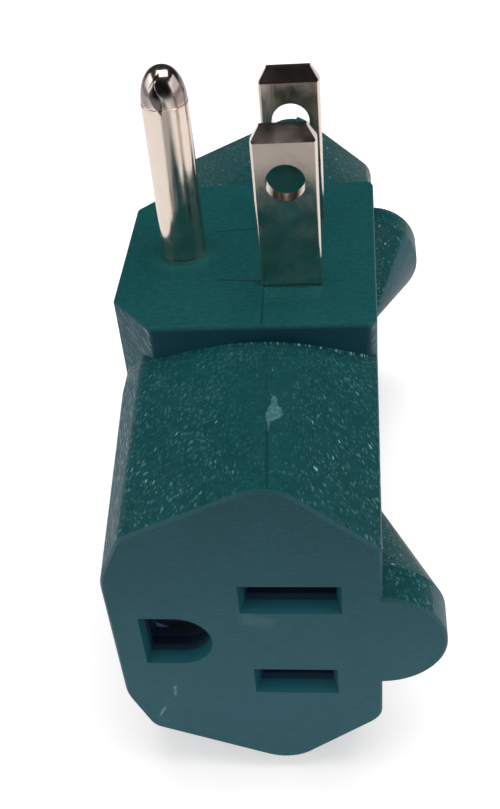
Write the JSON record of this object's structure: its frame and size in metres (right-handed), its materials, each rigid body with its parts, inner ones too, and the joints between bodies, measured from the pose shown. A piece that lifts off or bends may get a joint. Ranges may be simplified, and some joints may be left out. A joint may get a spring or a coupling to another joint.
{
  "type": "three-outlet wall tap",
  "caption": "Grounded plug-in adapter: one moulded green body with a plug on top and an outlet at its front, rear and underside.",
  "frame": {"origin": "on the plug face, midway between the two blades", "axes": "+Z along the blades out of the plug face, +X across the blades away from the ground pin, +Y from the front outlet to the rear outlet"},
  "size_m": [0.0332, 0.0698, 0.0662],
  "materials": {
    "green_vinyl": "fine leather grain",
    "dark_resin": "moulded, smooth",
    "nickel_plate": "bright nickel plate",
    "brass": "stamped sheet",
    "spring_brass": "rolled spring sheet"
  },
  "bodies": {
    "root": {"body": "green_vinyl", "plug_bridge": "dark_resin", "front_core": "dark_resin", "rear_core": "dark_resin", "bottom_core": "dark_resin", "neutral_blade": "nickel_plate", "hot_blade": "nickel_plate", "ground_pin": "nickel_plate", "neutral_strip": "brass", "hot_strip": "brass", "ground_strip": "brass", "neutral_rivets": "brass", "hot_rivets": "brass", "ground_rivets": "brass", "front_neutral_contact": "spring_brass", "front_hot_contact": "spring_brass", "front_ground_contact": "spring_brass", "rear_neutral_contact": "spring_brass", "rear_hot_contact": "spring_brass", "rear_ground_contact": "spring_brass", "bottom_neutral_contact": "spring_brass", "bottom_hot_contact": "spring_brass", "bottom_ground_contact": "spring_brass"}
  },
  "joints": []
}
